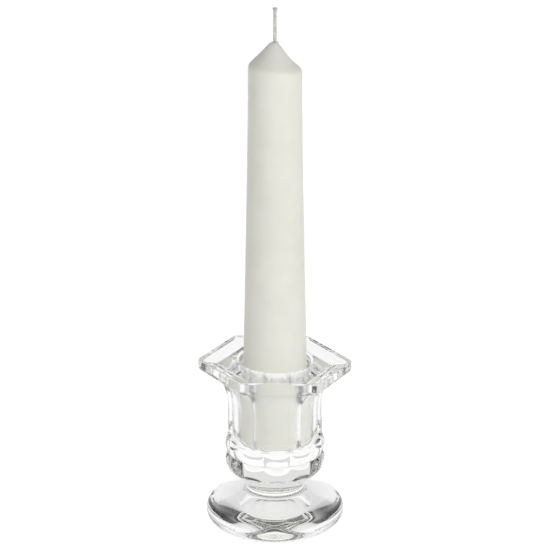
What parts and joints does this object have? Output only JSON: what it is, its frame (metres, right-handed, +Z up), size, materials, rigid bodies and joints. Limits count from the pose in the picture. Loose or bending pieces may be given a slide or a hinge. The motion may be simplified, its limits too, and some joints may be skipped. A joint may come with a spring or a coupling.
{
  "type": "candlestick",
  "caption": "Clear pressed-glass candlestick with a round foot, short neck, two pillow bands, six-sided cup and flared drip rim, holding a tapered dinner candle that lifts out.",
  "frame": {"origin": "centre of the foot's standing ring, on the surface the candlestick stands on", "axes": "+Z up along the candle; two corners of the six-sided cup lie on X, so one of its flats faces -Y"},
  "size_m": [0.054, 0.049, 0.1863],
  "materials": {
    "clear_glass": "polished",
    "white_wax": "satin",
    "waxed_cotton": "matte"
  },
  "bodies": {
    "holder": {"glass_holder": "clear_glass"},
    "dinner_candle": {"candle": "white_wax", "wick": "waxed_cotton"}
  },
  "joints": [
    {"name": "candle_lift", "type": "slide", "parent": "holder", "child": "dinner_candle", "axis": [0, 0, 1], "range_m": [0, 0.04]}
  ]
}
